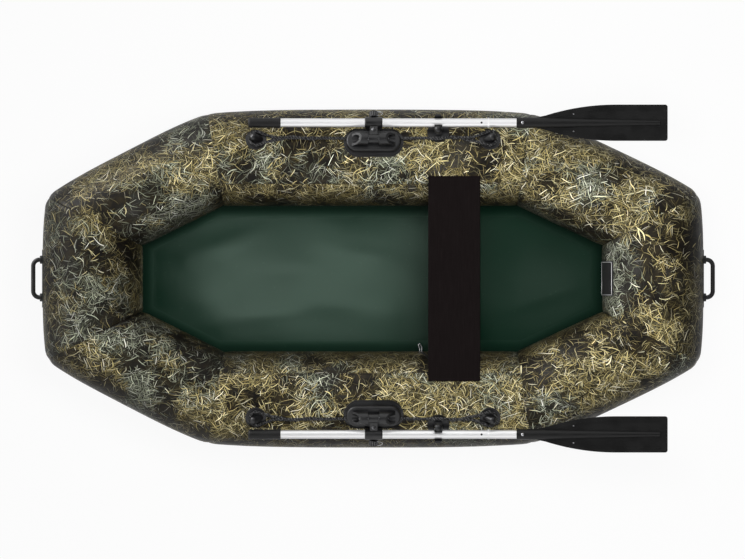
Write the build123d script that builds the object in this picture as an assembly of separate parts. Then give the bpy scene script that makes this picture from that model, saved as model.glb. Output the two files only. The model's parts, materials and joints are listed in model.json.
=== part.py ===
from build123d import *
import os
from math import atan2, cos, degrees, hypot, pi, radians, sin, sqrt, tan

# One-person inflatable rowing boat: an eight-sided ring of mitred air tubes with a sheet floor,
# a board seat, two folding oarlocks with oars stowed along the tubes, oar clips, grab lines and
# carry handles. Millimetres. +X is the bow, +Y is port, +Z is up, Z = 0 is the ground.

# Hull: outer outline of the air tubes, seen from above
HULL_LENGTH = 2100.0
HULL_WIDTH = 1075.0
TUBE_DIAMETER = 306.0
BOW_END_WIDTH = 552.0
STERN_END_WIDTH = 532.0
BOW_CORNER_X = 505.0
STERN_CORNER_X = -528.0
CREASE_RADIUS = 7.0
BOND_GAP = 0.3

# Floor sheet and the bands that join it to the undersides of the tubes
FLOOR_HEIGHT = 10.0
FLOOR_THICKNESS = 3.0
BAND_THICKNESS = 2.0
BAND_FROM = 16.0
BAND_TO = 46.0
BAND_END_GAP = 1.0

# Seat board and the two saddles that carry it; its ends stop inboard of the side tubes' crowns
SEAT_X = 257.5
SEAT_DEPTH = 165.0
SEAT_END_INSET = 59.5
SEAT_THICKNESS = 12.0
SEAT_EDGE_RADIUS = 2.0
SADDLE_DEPTH = 110.0
SADDLE_WIDTH = 44.0
SADDLE_INSET = 8.0

# Carry handles on the two end tubes
HANDLE_REACH = 38.0
HANDLE_SPAN = 134.0
HANDLE_BAR_DIAMETER = 14.0
HANDLE_BEND_RADIUS = 20.0
HANDLE_FOOT_DIAMETER = 26.0
HANDLE_FOOT_HEIGHT = 7.0
HANDLE_PATCH_LENGTH = 184.0
HANDLE_PATCH_HEIGHT = 52.0
HANDLE_PATCH_THICKNESS = 3.0

# Oarlock: pad, hinge ears, hinge pin, folding tongue, collar and knob
OARLOCK_X = 2.0
OARLOCK_ANGLE = 18.0
PAD_LENGTH = 190.0
PAD_WIDTH = 94.0
PAD_THICKNESS = 5.0
PLINTH_LENGTH = 174.0
PLINTH_WIDTH = 68.0
PLINTH_HEIGHT = 22.0
PLINTH_EDGE_RADIUS = 7.0
HINGE_HEIGHT = 35.0
EAR_RADIUS = 20.0
EAR_LENGTH = 51.0
EAR_SCOOP_RADIUS = 13.0
EAR_SCOOP_DEPTH = 24.0
KNUCKLE_LENGTH = 33.0
KNUCKLE_RADIUS = 15.0
KNUCKLE_SIDE_GAP = 1.0
HINGE_PIN_DIAMETER = 10.0
HINGE_PIN_FIT = 0.05
NECK_WIDTH = 24.0
NECK_THICKNESS = 17.0
NECK_ROOM = 1.0
STEM_DIAMETER = 12.0
STEM_FIT = 0.2
COLLAR_LENGTH = 56.0
COLLAR_DIAMETER = 36.0
COLLAR_EDGE_RADIUS = 3.0
KNOB_DIAMETER = 29.0
KNOB_LENGTH = 20.0
KNOB_GROOVES = 12
KNOB_GROOVE_DIAMETER = 5.0
KNOB_CAP = 4.0

# Oar, stowed outboard of the tube's crown: distances along X from the oarlock, blade towards the bow
OAR_OUTBOARD = 109.5
OAR_RISE = 31.0
SHAFT_DIAMETER = 28.0
SHAFT_WALL = 1.5
SLEEVE_FIT = 0.3
GRIP_LENGTH = 103.0
GRIP_DIAMETER = 32.0
GRIP_END_WALL = 6.0
GRIP_FLANGE_DIAMETER = 37.0
GRIP_FLANGE_LENGTH = 5.0
GRIP_GROOVES = 5
GRIP_GROOVE_DEPTH = 1.0
GRIP_GROOVE_WIDTH = 5.0
INBOARD_LENGTH = 398.0
JOINT_DISTANCE = 364.0
JOINT_RING_LENGTH = 6.0
JOINT_RING_DIAMETER = 32.0
BLADE_START = 453.0
BLADE_LENGTH = 479.0
BLADE_WIDTH = 115.0
BLADE_THICKNESS = 5.0
BLADE_CORNER_RADIUS = 8.0
BLADE_SHOULDER = 315.0
BLADE_NECK_WIDTH = 46.0
SOCKET_LENGTH = 92.0
SOCKET_DIAMETER = 34.0
SOCKET_DEPTH = 52.0
SPINE_TIP_DIAMETER = 16.0
SPINE_TIP_SETBACK = 24.0
BLADE_RIB_WIDTH = 5.0
BLADE_RIB_INSET = 11.0
BLADE_RIB_HEIGHT = 2.0
BLADE_RIB_START = 118.0

# Oar clip on the tube's shoulder
CLIP_X = 207.0
CLIP_WIDTH = 25.0
CLIP_WALL = 8.0
CLIP_OUTER_WALL = 6.0
CLIP_PLAY = 1.0
CLIP_CRADLE_GAP = 0.3
CLIP_DISC_DIAMETER = 70.0
CLIP_DISC_THICKNESS = 4.0
CLIP_DISC_ANGLE = 31.0
CLIP_INNER_TOP = 4.0
CLIP_OUTER_TOP = -14.0
CLIP_FOOT = -72.0
CLIP_PLAN_SPAN = 74.0
CLIP_PLAN_WIDTH = 32.0
CLIP_PLAN_SHIFT = 6.5
CLIP_BULB_DIAMETER = 27.0
CLIP_BULB_REACH = 30.5
CLIP_BULB_ANGLE = -8.0

# Grab lines, each with a loop round the leaning peg of its eyelet
LINE_DIAMETER = 11.0
LINE_FIT = 0.3
LINE_ANGLE = 21.5
LINE_HEIGHT = 10.0
LINE_SEAT_DEPTH = 14.0
EYELET_X = 371.0
EYELET_DISC_DIAMETER = 67.0
EYELET_DISC_THICKNESS = 4.0
PEG_DIAMETER = 24.0
PEG_LENGTH = 36.0
PEG_LEAN = 40.0
PEG_SETBACK = 8.0
PEG_EDGE = 10.0

# Air valves, low on the inner faces of the side tubes
VALVE_X = -330.0
VALVE_ANGLE = -122.0
VALVE_FLANGE_DIAMETER = 54.0
VALVE_FLANGE_THICKNESS = 3.0
VALVE_CAP_DIAMETER = 34.0
VALVE_CAP_HEIGHT = 11.0
VALVE_CAP_EDGE = 2.5

# Derived places
R = TUBE_DIAMETER / 2
SIDE_Y = HULL_WIDTH / 2 - R
END_X = HULL_LENGTH / 2 - R
SHAFT_R = SHAFT_DIAMETER / 2
TUBE_SIDES = ("stern", "stern_port", "port", "bow_port", "bow", "bow_starboard", "starboard", "stern_starboard")


def along_x(radius, length, x=0.0, y=0.0, z=0.0):
    """A round bar of that length, centred at the point and lying along X."""
    return Pos(x, y, z) * Rot(0, 90, 0) * Cylinder(radius, length)


def tube_frame(x, angle):
    """The port tube's frame at x: local X along the tube, local Z out of it at the angle from upright."""
    out = (0, sin(radians(angle)), cos(radians(angle)))
    return Plane(origin=(x, SIDE_Y, R), x_dir=(1, 0, 0), z_dir=out)


def on_tube(angle, height):
    """Y and Z of a point that far above the port tube's skin, at the angle outboard of upright."""
    reach = R + height
    return SIDE_Y + reach * sin(radians(angle)), R + reach * cos(radians(angle))


def tube_patch(outline, thickness):
    """A patch of that outline that follows the tube, in the tube's frame."""
    prism = extrude(outline, amount=2 * R)
    return (prism & along_x(R + thickness, 4 * R)) - along_x(R + BOND_GAP, 5 * R)


def line_cross(p, d, q, e):
    """Where the line through p along d meets the line through q along e, in plan."""
    k = ((q[0] - p[0]) * e[1] - (q[1] - p[1]) * e[0]) / (d[0] * e[1] - d[1] * e[0])
    return p[0] + k * d[0], p[1] + k * d[1]


def plan_ring(inset):
    """The eight corners of the hull's outer outline moved inwards, clockwise from the stern's starboard end."""
    half_x, half_y = HULL_LENGTH / 2, HULL_WIDTH / 2
    stern, bow = STERN_END_WIDTH / 2, BOW_END_WIDTH / 2
    outer = [(-half_x, -stern), (-half_x, stern), (STERN_CORNER_X, half_y), (BOW_CORNER_X, half_y),
             (half_x, bow), (half_x, -bow), (BOW_CORNER_X, -half_y), (STERN_CORNER_X, -half_y)]
    sides = []
    for a, b in zip(outer, outer[1:] + outer[:1]):
        length = hypot(b[0] - a[0], b[1] - a[1])
        d = ((b[0] - a[0]) / length, (b[1] - a[1]) / length)
        sides.append(((a[0] + inset * d[1], a[1] - inset * d[0]), d))
    return [line_cross(*sides[i - 1], *sides[i]) for i in range(len(sides))]


def mitre_plane(corners, i, shift):
    """The upright plane through corner i that halves the angle between the two tubes there, moved along the ring."""
    before, at, after = corners[i - 1], corners[i], corners[(i + 1) % len(corners)]
    into = atan2(at[1] - before[1], at[0] - before[0])
    out = atan2(after[1] - at[1], after[0] - at[0])
    turn = (out - into + pi) % (2 * pi) - pi
    way = (cos(into + turn / 2), sin(into + turn / 2))
    return Plane(origin=(at[0] + shift * way[0], at[1] + shift * way[1], R), z_dir=(*way, 0))


def mitred_bar(section, corners, i, end_gap=0.0):
    """The section run along side i and cut at both mitres. Its local X points inboard and its local Y down."""
    a, b = corners[i], corners[(i + 1) % len(corners)]
    length = hypot(b[0] - a[0], b[1] - a[1])
    d = ((b[0] - a[0]) / length, (b[1] - a[1]) / length)
    start = Plane(origin=(a[0] - 2 * R * d[0], a[1] - 2 * R * d[1], R), x_dir=(d[1], -d[0], 0), z_dir=(*d, 0))
    bar = extrude(start * section, amount=length + 4 * R)
    bar = split(bar, bisect_by=mitre_plane(corners, i, end_gap), keep=Keep.TOP)
    return split(bar, bisect_by=mitre_plane(corners, (i + 1) % len(corners), -end_gap), keep=Keep.BOTTOM)


def air_tubes():
    """Eight tube lengths, each softly rounded where it is welded to the next."""
    corners = plan_ring(R)
    tubes = {}
    for i, side in enumerate(TUBE_SIDES):
        tube = mitred_bar(Circle(R), corners, i)
        ends = tube.faces().filter_by(GeomType.PLANE)
        tubes["tube_" + side] = fillet(ends.edges(), CREASE_RADIUS)
    return tubes


def floor():
    """The floor sheet, which ends at the bands along the undersides of the tubes."""
    top = FLOOR_HEIGHT + FLOOR_THICKNESS
    reach = sqrt((R + 2 * BOND_GAP + BAND_THICKNESS) ** 2 - (R - top) ** 2)
    outline = make_face(Polyline(*plan_ring(R + reach), close=True))
    return extrude(Pos(0, 0, FLOOR_HEIGHT) * outline, FLOOR_THICKNESS)


def floor_bands():
    """One curved strip along the inner underside of each tube, angles from straight down."""
    corners = plan_ring(R)
    skin = Circle(R + BOND_GAP + BAND_THICKNESS) - Circle(R + BOND_GAP)
    far = 2 * R
    low, high = radians(BAND_FROM), radians(BAND_TO)
    wedge = make_face(Polyline((0, 0), (far * sin(low), far * cos(low)), (far * sin(high), far * cos(high)),
                               close=True))
    return Compound(children=[mitred_bar(skin & wedge, corners, i, BAND_END_GAP / 2) for i in range(len(corners))])


def seat():
    """The seat board, and a saddle under each end that follows the tube."""
    y_end = SIDE_Y - SEAT_END_INSET
    under = R + sqrt((R + BOND_GAP) ** 2 - (SIDE_Y - y_end) ** 2) + BOND_GAP
    board = Pos(SEAT_X, 0, under + SEAT_THICKNESS / 2) * Box(SEAT_DEPTH, 2 * y_end, SEAT_THICKNESS)
    board = fillet(board.edges(), SEAT_EDGE_RADIUS)
    y_mid = y_end - SADDLE_INSET - SADDLE_WIDTH / 2
    block = Pos(SEAT_X, y_mid, under - BOND_GAP - R / 2) * Box(SADDLE_DEPTH, SADDLE_WIDTH, R)
    saddle = block - along_x(R + BOND_GAP, 2 * SADDLE_DEPTH, SEAT_X, SIDE_Y, R)
    return board, saddle


def handle():
    """The bow's carry handle and the patch that bonds it to the end tube."""
    tube = Pos(END_X, 0, R) * Rot(90, 0, 0) * Cylinder(R + BOND_GAP, HULL_WIDTH)
    skin = Pos(END_X, 0, R) * Rot(90, 0, 0) * Cylinder(R + HANDLE_PATCH_THICKNESS, HULL_WIDTH)
    seat_skin = Pos(END_X, 0, R) * Rot(90, 0, 0) * Cylinder(R + HANDLE_PATCH_THICKNESS + BOND_GAP, HULL_WIDTH)
    face = Plane(origin=(END_X, 0, R), x_dir=(0, 1, 0), z_dir=(1, 0, 0))
    outline = face * SlotOverall(HANDLE_PATCH_LENGTH, HANDLE_PATCH_HEIGHT)
    patch = (extrude(outline, amount=2 * R) & skin) - tube
    bar_r = HANDLE_BAR_DIAMETER / 2
    x_bar = HULL_LENGTH / 2 + HANDLE_REACH - bar_r
    y_leg = HANDLE_SPAN / 2 - bar_r
    path = FilletPolyline((END_X + R / 2, -y_leg, R), (x_bar, -y_leg, R), (x_bar, y_leg, R),
                          (END_X + R / 2, y_leg, R), radius=HANDLE_BEND_RADIUS)
    bar = sweep(Plane(origin=path @ 0, z_dir=path % 0) * Circle(bar_r), path=path)
    x_foot = HULL_LENGTH / 2 + HANDLE_PATCH_THICKNESS + HANDLE_FOOT_HEIGHT
    for y in (-y_leg, y_leg):
        foot = along_x(HANDLE_FOOT_DIAMETER / 2, R, x_foot - R / 2, y, R)
        bar += fillet(foot.edges().sort_by(Axis.X)[-1], HANDLE_FOOT_HEIGHT / 3)
    return bar - seat_skin, patch


def oar_axis():
    """Y and Z of the stowed port oar, which lies beside the tube's shoulder."""
    reach = R + OAR_RISE
    return SIDE_Y + OAR_OUTBOARD, R + sqrt(reach ** 2 - OAR_OUTBOARD ** 2)


def oarlock_hinge():
    """Y and Z of the port oarlock's hinge."""
    return on_tube(OARLOCK_ANGLE, HINGE_HEIGHT)


def stem_frame():
    """Local Z runs from the hinge out through the stowed oar, local X along the boat, origin on the oar."""
    (hy, hz), (oy, oz) = oarlock_hinge(), oar_axis()
    return Plane(origin=(OARLOCK_X, oy, oz), x_dir=(1, 0, 0), z_dir=(0, oy - hy, oz - hz))


def stem_length():
    (hy, hz), (oy, oz) = oarlock_hinge(), oar_axis()
    return hypot(oy - hy, oz - hz)


def oarlock_base():
    """The bonded pad with its plinth and the two hinge ears, whose outer ends are scooped out."""
    pad = tube_patch(SlotOverall(PAD_LENGTH, PAD_WIDTH), PAD_THICKNESS)
    plinth = extrude(SlotOverall(PLINTH_LENGTH, PLINTH_WIDTH), amount=R + PLINTH_HEIGHT)
    plinth = fillet(plinth.faces().sort_by(Axis.Z)[-1].edges(), PLINTH_EDGE_RADIUS)
    base = pad + (plinth - along_x(R + BOND_GAP, 5 * R))
    hinge_r = R + HINGE_HEIGHT
    foot_r = R + PLINTH_HEIGHT - PLINTH_EDGE_RADIUS
    x_in = KNUCKLE_LENGTH / 2 + KNUCKLE_SIDE_GAP
    x_out = x_in + EAR_LENGTH
    for way in (-1, 1):
        x_mid = way * (x_in + x_out) / 2
        ear = along_x(EAR_RADIUS, EAR_LENGTH, x_mid, 0, hinge_r)
        ear += Pos(x_mid, 0, (foot_r + hinge_r) / 2) * Box(EAR_LENGTH, 2 * EAR_RADIUS, hinge_r - foot_r)
        slope = Plane(origin=(way * x_out, 0, hinge_r - EAR_RADIUS / 2), z_dir=(way, 0, 1))
        ear = split(ear, bisect_by=slope, keep=Keep.BOTTOM)
        ear -= along_x(EAR_SCOOP_RADIUS, 2 * EAR_SCOOP_DEPTH, way * x_out, 0, hinge_r)
        base += ear
        line_t = (R + LINE_HEIGHT) * sin(radians(LINE_ANGLE - OARLOCK_ANGLE))
        line_r = (R + LINE_HEIGHT) * cos(radians(LINE_ANGLE - OARLOCK_ANGLE))
        base -= along_x(LINE_DIAMETER / 2 + LINE_FIT, 2 * (LINE_SEAT_DEPTH + BOND_GAP), way * PLINTH_LENGTH / 2,
                        line_t, line_r)
    base -= along_x(HINGE_PIN_DIAMETER / 2 + HINGE_PIN_FIT, PAD_LENGTH, 0, 0, hinge_r)
    knuckle_room = KNUCKLE_RADIUS + 2 * BOND_GAP
    base -= along_x(knuckle_room, 2 * x_in, 0, 0, hinge_r)
    pin_length = 2 * (x_out - EAR_SCOOP_DEPTH) + HINGE_PIN_DIAMETER / 2
    pin = along_x(HINGE_PIN_DIAMETER / 2, pin_length, 0, 0, hinge_r)
    frame = tube_frame(OARLOCK_X, OARLOCK_ANGLE)
    reach = stem_length()
    neck_slot = Pos(0, (NECK_THICKNESS - PAD_WIDTH) / 2 + NECK_ROOM, -reach / 2) * Box(2 * x_in, PAD_WIDTH, reach)
    return frame * base - stem_frame() * neck_slot, frame * pin


def oarlock_tongue():
    """The folding tongue: hinge knuckle, neck and the stem that the oar turns on."""
    reach = stem_length()
    collar_r = COLLAR_DIAMETER / 2
    knuckle = along_x(KNUCKLE_RADIUS, KNUCKLE_LENGTH, 0, 0, -reach)
    neck_top = -collar_r - BOND_GAP
    neck = Pos(0, 0, (neck_top - reach) / 2) * Box(NECK_WIDTH, NECK_THICKNESS, reach + neck_top)
    stem_top = collar_r + KNOB_LENGTH - KNOB_CAP
    stem = Pos(0, 0, (stem_top - reach) / 2) * Cylinder(STEM_DIAMETER / 2, stem_top + reach)
    bore = along_x(HINGE_PIN_DIAMETER / 2 + 2 * HINGE_PIN_FIT, 2 * KNUCKLE_LENGTH, 0, 0, -reach)
    return stem_frame() * (knuckle + neck + stem - bore)


def stem_hole():
    """The room for the stem through the collar and the oar's shaft, in the stem's frame."""
    return Cylinder(STEM_DIAMETER / 2 + STEM_FIT, 4 * COLLAR_DIAMETER)


def oar_collar():
    """The sleeve on the oar's shaft that the stem passes through."""
    sleeve = along_x(COLLAR_DIAMETER / 2, COLLAR_LENGTH)
    sleeve = fillet(sleeve.edges(), COLLAR_EDGE_RADIUS)
    sleeve -= along_x(SHAFT_R + SLEEVE_FIT, 2 * COLLAR_LENGTH)
    return stem_frame() * (sleeve - stem_hole())


def oar_knob():
    """The grooved knob that holds the oar on its stem."""
    base = COLLAR_DIAMETER / 2 + BOND_GAP
    knob = Pos(0, 0, base + KNOB_LENGTH / 2) * Cylinder(KNOB_DIAMETER / 2, KNOB_LENGTH)
    knob = fillet(knob.edges().sort_by(Axis.Z)[-1], KNOB_CAP / 2)
    groove = Pos(0, 0, base + KNOB_LENGTH / 2) * Cylinder(KNOB_GROOVE_DIAMETER / 2, 2 * KNOB_LENGTH)
    for k in range(KNOB_GROOVES):
        knob -= Rot(0, 0, k * 360 / KNOB_GROOVES) * Pos(KNOB_DIAMETER / 2, 0, 0) * groove
    bore_top = COLLAR_DIAMETER / 2 + KNOB_LENGTH - KNOB_CAP + BOND_GAP
    knob -= Pos(0, 0, bore_top / 2) * Cylinder(STEM_DIAMETER / 2 + STEM_FIT, bore_top)
    return stem_frame() * knob


def oar_frame():
    """Local X along the stowed oar towards its blade, origin at the oarlock."""
    oy, oz = oar_axis()
    return Plane(origin=(OARLOCK_X, oy, oz), x_dir=(1, 0, 0), z_dir=(0, 0, 1))


def shaft(start, end):
    """A length of the oar's tube between two distances from the oarlock."""
    mid = (start + end) / 2
    tube = along_x(SHAFT_R, end - start, mid)
    return tube - along_x(SHAFT_R - SHAFT_WALL, 2 * (end - start), mid)


def oar_shafts():
    """The oar's two tubes, which part at the joint ring, and that ring."""
    inner = oar_frame() * shaft(GRIP_END_WALL + BOND_GAP - INBOARD_LENGTH, JOINT_DISTANCE)
    inner -= stem_frame() * stem_hole()
    outer = oar_frame() * shaft(JOINT_DISTANCE + BOND_GAP, BLADE_START + SOCKET_DEPTH)
    ring = along_x(JOINT_RING_DIAMETER / 2, JOINT_RING_LENGTH, JOINT_DISTANCE)
    ring -= along_x(SHAFT_R + SLEEVE_FIT, 2 * JOINT_RING_LENGTH, JOINT_DISTANCE)
    return inner, outer, oar_frame() * ring


def oar_grip():
    """The moulded grip: closed at its end, flanged at its inner edge, with shallow grooves round it."""
    start = -INBOARD_LENGTH
    grip = along_x(GRIP_DIAMETER / 2, GRIP_LENGTH, start + GRIP_LENGTH / 2)
    grip = fillet(grip.edges().sort_by(Axis.X)[0], GRIP_END_WALL)
    grip += along_x(GRIP_FLANGE_DIAMETER / 2, GRIP_FLANGE_LENGTH, start + GRIP_LENGTH - GRIP_FLANGE_LENGTH / 2)
    pitch = (GRIP_LENGTH - GRIP_FLANGE_LENGTH) / (GRIP_GROOVES + 1)
    for k in range(GRIP_GROOVES):
        x = start + (k + 1) * pitch
        ring = along_x(GRIP_DIAMETER, GRIP_GROOVE_WIDTH, x)
        grip -= ring - along_x(GRIP_DIAMETER / 2 - GRIP_GROOVE_DEPTH, 2 * GRIP_GROOVE_WIDTH, x)
    bore_start = start + GRIP_END_WALL
    grip -= along_x(SHAFT_R + SLEEVE_FIT, 2 * GRIP_LENGTH, bore_start + GRIP_LENGTH)
    return oar_frame() * grip


def blade_outline():
    """The blade seen face on: narrow root, shoulders that flare in one arc and a square tip."""
    half, neck, root = BLADE_WIDTH / 2, BLADE_NECK_WIDTH / 2, SOCKET_DIAMETER / 2 - BLADE_THICKNESS / 2
    x_root, x_neck = BLADE_START + SOCKET_DEPTH, BLADE_START + SOCKET_LENGTH
    x_shoulder, x_tip = BLADE_START + BLADE_SHOULDER, BLADE_START + BLADE_LENGTH
    edges = [Line((x_root, -root), (x_root, root)), Line((x_tip, -half), (x_tip, half))]
    for way in (-1, 1):
        edges.append(Line((x_root, way * root), (x_neck, way * neck)))
        edges.append(TangentArc((x_shoulder, way * half), (x_neck, way * neck), tangent=(-1, 0)))
        edges.append(Line((x_shoulder, way * half), (x_tip, way * half)))
    face = make_face(edges)
    tip = face.vertices().group_by(Axis.X)[-1]
    return fillet(tip, BLADE_CORNER_RADIUS)


def oar_blade():
    """The moulded blade: socket, tapering spine, flat blade and a raised rib inside each edge."""
    face = blade_outline()
    plate = extrude(Pos(0, 0, -BLADE_THICKNESS / 2) * face, BLADE_THICKNESS)
    x_neck, x_tip = BLADE_START + SOCKET_LENGTH, BLADE_START + BLADE_LENGTH - SPINE_TIP_SETBACK
    socket = along_x(SOCKET_DIAMETER / 2, SOCKET_LENGTH, BLADE_START + SOCKET_LENGTH / 2)
    spine = Pos((x_neck + x_tip) / 2, 0, 0) * Rot(0, 90, 0) * Cone(
        SOCKET_DIAMETER / 2, SPINE_TIP_DIAMETER / 2, x_tip - x_neck)
    band = offset(face, -BLADE_RIB_INSET) - offset(face, -BLADE_RIB_INSET - BLADE_RIB_WIDTH)
    x_rib, x_rib_end = BLADE_START + BLADE_RIB_START, x_tip
    window = Pos((x_rib + x_rib_end) / 2, 0) * Rectangle(x_rib_end - x_rib, BLADE_WIDTH)
    rib_height = BLADE_THICKNESS + 2 * BLADE_RIB_HEIGHT
    ribs = extrude(Pos(0, 0, -rib_height / 2) * (band & window), rib_height)
    blade = plate + socket + spine + ribs
    blade -= along_x(SHAFT_R + SLEEVE_FIT, 2 * (SOCKET_DEPTH + BOND_GAP), BLADE_START)
    return oar_frame() * blade


def sector(inner, outer, low, high):
    """A ring sector round the origin, between two radii and two angles in degrees."""
    far = 3 * outer
    middle = radians((low + high) / 2)
    low, high = radians(low), radians(high)
    wedge = make_face(Polyline((0, 0), (far * cos(low), far * sin(low)), (far * cos(middle), far * sin(middle)),
                               (far * cos(high), far * sin(high)), close=True))
    return (Circle(outer) - Circle(inner)) & wedge


def oar_clip():
    """The clip on its bonded disc: two prongs that follow the shaft's arc, the inner one with a round head."""
    (hy, hz), (oy, oz) = oarlock_hinge(), oar_axis()
    reach = stem_length()
    lie = degrees(atan2(oz - hz, oy - hy))
    way_in, way_out = reach - SHAFT_R - CLIP_PLAY, reach + SHAFT_R + CLIP_PLAY
    profile = sector(way_in - CLIP_WALL, way_out + CLIP_OUTER_WALL, CLIP_FOOT, CLIP_INNER_TOP)
    profile -= sector(way_in, 2 * way_out, CLIP_OUTER_TOP, 90)
    profile -= sector(way_in, way_out, lie, 90)
    profile -= Pos(oy - hy, oz - hz) * Circle(SHAFT_R + CLIP_CRADLE_GAP)
    across = Plane(origin=(CLIP_X - CLIP_WIDTH / 2, hy, hz), x_dir=(0, 1, 0), z_dir=(1, 0, 0))
    clip = extrude(across * profile, amount=CLIP_WIDTH)
    plan = Pos(CLIP_X, oy - CLIP_PLAN_SHIFT, 0) * Ellipse(CLIP_PLAN_WIDTH / 2, CLIP_PLAN_SPAN / 2)
    clip &= extrude(plan, amount=hz + R)
    turn = radians(CLIP_BULB_ANGLE)
    bulb = Pos(CLIP_X, hy + CLIP_BULB_REACH * cos(turn), hz + CLIP_BULB_REACH * sin(turn))
    clip += bulb * Sphere(CLIP_BULB_DIAMETER / 2)
    clip -= along_x(R + CLIP_DISC_THICKNESS / 2, 2 * CLIP_WIDTH, CLIP_X, SIDE_Y, R)
    disc = tube_frame(CLIP_X, CLIP_DISC_ANGLE) * tube_patch(Circle(CLIP_DISC_DIAMETER / 2), CLIP_DISC_THICKNESS)
    return disc + clip


def eyelet(way):
    """A bonded disc with a round-ended peg that leans away from the oarlock."""
    disc = tube_patch(Circle(EYELET_DISC_DIAMETER / 2), EYELET_DISC_THICKNESS)
    sunk = EYELET_DISC_THICKNESS + PEG_DIAMETER
    peg = Pos(0, 0, (PEG_LENGTH - sunk) / 2) * Cylinder(PEG_DIAMETER / 2, PEG_LENGTH + sunk)
    peg = fillet(peg.edges().sort_by(Axis.Z)[-1], PEG_EDGE)
    peg = Pos(-way * PEG_SETBACK, 0, R + EYELET_DISC_THICKNESS) * Rot(0, way * PEG_LEAN, 0) * peg
    peg -= along_x(R + EYELET_DISC_THICKNESS / 2, 4 * R)
    return tube_frame(way * EYELET_X, LINE_ANGLE) * (disc + peg)


def grab_line(way):
    """The rope from the oarlock's plinth to its loop round the peg, towards the bow (1) or the stern (-1)."""
    lean = radians(PEG_LEAN)
    loop_r = ((PEG_DIAMETER + LINE_DIAMETER) / 2 + LINE_FIT) / cos(lean)
    loop_x = way * (EYELET_X - PEG_SETBACK + (LINE_HEIGHT - EYELET_DISC_THICKNESS) * tan(lean))
    start = OARLOCK_X + way * (PLINTH_LENGTH / 2 - LINE_SEAT_DEPTH)
    end = loop_x - way * loop_r
    y, z = on_tube(LINE_ANGLE, LINE_HEIGHT)
    line = along_x(LINE_DIAMETER / 2, abs(end - start), (start + end) / 2, y, z)
    loop = Pos(0, 0, R + LINE_HEIGHT) * Torus(loop_r, LINE_DIAMETER / 2)
    return line + tube_frame(loop_x, LINE_ANGLE) * loop


def valve():
    """An air valve: bonded flange and screwed cap."""
    flange = tube_patch(Circle(VALVE_FLANGE_DIAMETER / 2), VALVE_FLANGE_THICKNESS)
    top = R + VALVE_FLANGE_THICKNESS + VALVE_CAP_HEIGHT
    cap = Pos(0, 0, top / 2) * Cylinder(VALVE_CAP_DIAMETER / 2, top)
    cap = fillet(cap.edges().sort_by(Axis.Z)[-1], VALVE_CAP_EDGE)
    cap -= along_x(R + VALVE_FLANGE_THICKNESS / 2, 2 * R)
    return tube_frame(VALVE_X, VALVE_ANGLE) * (flange + cap)


def build():
    """Every node by name. Side fittings are made for port and mirrored to starboard."""
    nodes = air_tubes()
    nodes["floor"] = floor()
    nodes["floor_bands"] = floor_bands()
    nodes["seat"], saddle = seat()
    nodes["bow_handle"], nodes["bow_handle_patch"] = handle()
    for piece in ("handle", "handle_patch"):
        nodes["stern_" + piece] = mirror(nodes["bow_" + piece], about=Plane.YZ)
    port = {"seat_saddle": saddle, "oar_clip": oar_clip(), "air_valve": valve()}
    port["oarlock_base"], port["oarlock_hinge_pin"] = oarlock_base()
    port["oarlock_tongue"] = oarlock_tongue()
    port["oar_collar"] = oar_collar()
    port["oar_knob"] = oar_knob()
    port["oar_inner_shaft"], port["oar_outer_shaft"], port["oar_joint_ring"] = oar_shafts()
    port["oar_grip"] = oar_grip()
    port["oar_blade"] = oar_blade()
    for end, way in (("bow", 1), ("stern", -1)):
        port[end + "_eyelet"] = eyelet(way)
        port[end + "_grab_line"] = grab_line(way)
    for name, piece in port.items():
        nodes["port_" + name] = piece
        nodes["starboard_" + name] = mirror(piece, about=Plane.XZ)
    return nodes


def main():
    os.makedirs("parts", exist_ok=True)
    for name, piece in build().items():
        export_step(piece, f"parts/{name}.step")


if __name__ == "__main__":
    main()
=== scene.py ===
import json
import math

import bpy
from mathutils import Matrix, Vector, noise


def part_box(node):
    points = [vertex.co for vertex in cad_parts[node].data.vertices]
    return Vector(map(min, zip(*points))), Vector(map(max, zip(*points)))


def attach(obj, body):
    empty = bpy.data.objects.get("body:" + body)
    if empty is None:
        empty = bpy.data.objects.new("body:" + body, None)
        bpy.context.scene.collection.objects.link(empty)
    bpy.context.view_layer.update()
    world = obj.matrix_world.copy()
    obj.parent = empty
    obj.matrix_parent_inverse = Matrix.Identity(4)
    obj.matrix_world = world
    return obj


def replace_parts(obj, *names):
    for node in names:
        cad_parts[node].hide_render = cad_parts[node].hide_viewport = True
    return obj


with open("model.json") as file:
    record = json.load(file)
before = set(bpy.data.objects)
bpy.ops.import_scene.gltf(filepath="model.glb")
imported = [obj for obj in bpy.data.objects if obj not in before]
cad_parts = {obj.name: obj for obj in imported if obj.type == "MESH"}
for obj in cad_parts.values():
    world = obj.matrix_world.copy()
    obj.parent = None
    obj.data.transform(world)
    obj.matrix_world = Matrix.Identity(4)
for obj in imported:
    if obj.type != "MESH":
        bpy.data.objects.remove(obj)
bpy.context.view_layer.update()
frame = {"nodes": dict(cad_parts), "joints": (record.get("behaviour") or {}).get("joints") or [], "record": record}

# Hull outline in plan, metres, clockwise from the stern's starboard end: outer and inner corners of the tubes
OUTER = [(-1.050, -0.266), (-1.050, 0.266), (-0.528, 0.5375), (0.505, 0.5375),
         (1.050, 0.276), (1.050, -0.276), (0.505, -0.5375), (-0.528, -0.5375)]
INNER = [(-0.732, -0.104), (-0.732, 0.104), (-0.475, 0.2315), (0.458, 0.2315),
         (0.729, 0.105), (0.729, -0.105), (0.458, -0.2315), (-0.475, -0.2315)]
SIDES = ("stern", "stern_port", "port", "bow_port", "bow", "bow_starboard", "starboard", "stern_starboard")
LONG_SIDES = ("port", "starboard")
END_CORNERS = (0, 1, 4, 5)          # corners at the stern and at the bow; the others are beside the long tubes
TUBE_R = (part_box("tube_port")[1].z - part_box("tube_port")[0].z) / 2

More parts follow.
